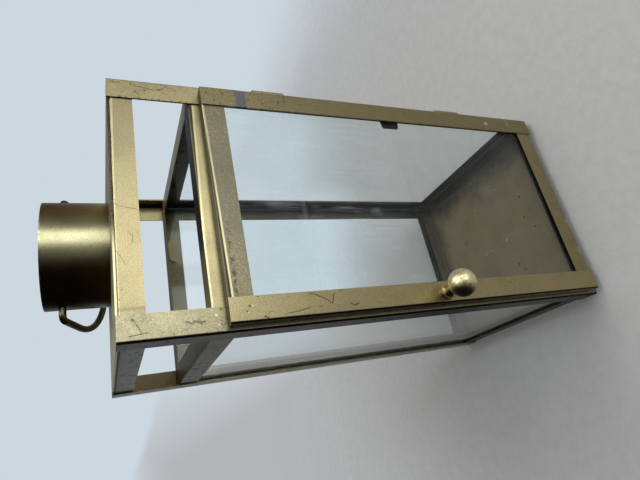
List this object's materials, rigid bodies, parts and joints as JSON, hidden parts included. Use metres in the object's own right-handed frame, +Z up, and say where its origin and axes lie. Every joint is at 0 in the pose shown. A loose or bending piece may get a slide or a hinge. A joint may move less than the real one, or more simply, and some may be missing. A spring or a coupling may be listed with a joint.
{
  "type": "lantern",
  "caption": "Candle lantern of folded brass-coloured strips with glass panes, a hinged door with a ball knob, an open vent band, and a round chimney collar with a wire bail.",
  "frame": {"origin": "centre of the base on the table: middle of the body's width and depth, at the underside of the floor tray", "axes": "+Z up; the door and knob face -Y; +X to the right when looking at the door, where the hinges are"},
  "size_m": [0.15, 0.1765, 0.348],
  "materials": {
    "brass_paint": "satin antique-brass lacquer on sheet steel, scratched",
    "floor_plate": "dull brown-grey, sooty and speckled",
    "pane_glass": "clear float glass",
    "clip_metal": "satin, dark",
    "hinge_metal": "satin antique-brass lacquer",
    "pin_steel": "plain drawn steel",
    "knob_metal": "worn polished brass plating",
    "bail_wire": "dark satin lacquer on steel wire"
  },
  "bodies": {
    "body": {"post_front_left": "brass_paint", "post_front_right": "brass_paint", "post_back_left": "brass_paint", "post_back_right": "brass_paint", "base_rail_front": "brass_paint", "base_rail_back": "brass_paint", "base_rail_left": "brass_paint", "base_rail_right": "brass_paint", "mid_rail_front": "brass_paint", "mid_rail_back": "brass_paint", "mid_rail_left": "brass_paint", "mid_rail_right": "brass_paint", "top_rail_front": "brass_paint", "top_rail_back": "brass_paint", "top_rail_left": "brass_paint", "top_rail_right": "brass_paint", "top_plate": "brass_paint", "chimney_collar": "brass_paint", "floor_tray": "floor_plate", "glass_back": "pane_glass", "glass_left": "pane_glass", "glass_right": "pane_glass", "glass_clip_back": "clip_metal", "glass_clip_left": "clip_metal", "glass_clip_right": "clip_metal", "hinge_upper_post_leaf": "hinge_metal", "hinge_lower_post_leaf": "hinge_metal", "hinge_upper_pin": "pin_steel", "hinge_lower_pin": "pin_steel"},
    "door": {"door_stile_hinge": "brass_paint", "door_stile_latch": "brass_paint", "door_rail_top": "brass_paint", "door_rail_bottom": "brass_paint", "door_glass": "pane_glass", "door_clip_hinge": "clip_metal", "door_clip_latch": "clip_metal", "hinge_upper_door_leaf": "hinge_metal", "hinge_lower_door_leaf": "hinge_metal", "knob": "knob_metal", "knob_screw": "pin_steel"},
    "bail": {"bail": "bail_wire"}
  },
  "joints": [
    {"name": "door_hinge", "type": "hinge", "parent": "body", "child": "door", "pos_m": [0.072, -0.0757, 0.13475], "axis": [0, 0, 1], "range_deg": [0, 155]},
    {"name": "bail_pivot", "type": "hinge", "parent": "body", "child": "bail", "pos_m": [-0.0008, 0, 0.3383], "axis": [1, 0, 0], "range_deg": [0, 226]}
  ]
}
